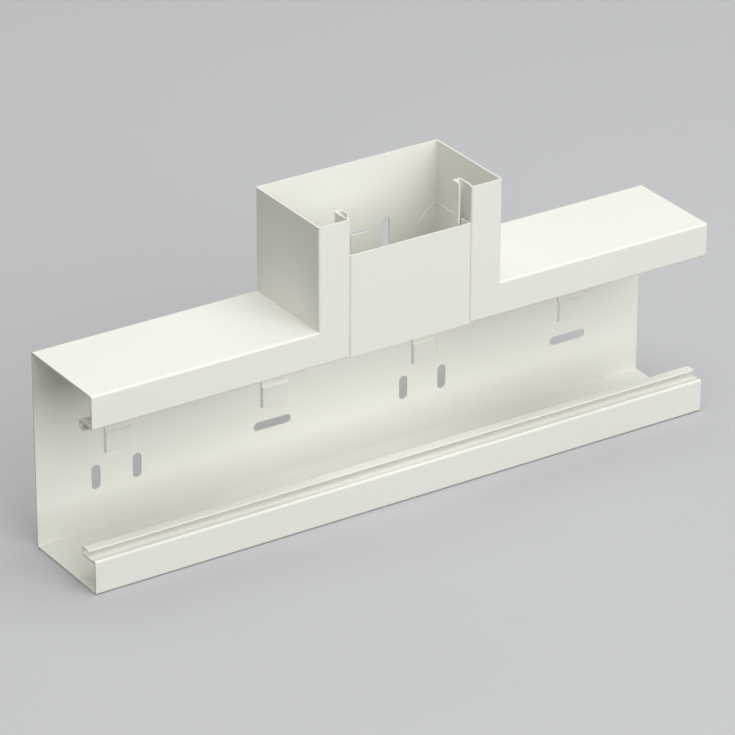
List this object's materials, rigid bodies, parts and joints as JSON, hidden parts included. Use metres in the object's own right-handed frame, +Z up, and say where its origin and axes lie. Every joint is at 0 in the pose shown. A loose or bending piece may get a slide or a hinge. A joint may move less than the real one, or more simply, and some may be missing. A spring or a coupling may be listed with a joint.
{
  "type": "trunking tee fitting",
  "caption": "Steel wall trunking tee: a channel with hooked cover lips and a slotted, pocketed back wall, and a short branch of the same section that rises from it behind a snap-in panel.",
  "frame": {"origin": "middle of the trunk's underside", "axes": "+X along the trunk, to the right seen from the open front; +Y from the open front to the back wall; +Z up, towards the branch's open end"},
  "size_m": [0.44, 0.07, 0.198],
  "materials": {
    "channel_paint": "satin",
    "panel_paint": "satin"
  },
  "bodies": {
    "root": {"trunk_channel": "channel_paint", "branch_channel": "channel_paint", "right_joint_bracket": "channel_paint", "left_joint_bracket": "channel_paint", "front_panel": "panel_paint"}
  },
  "joints": []
}
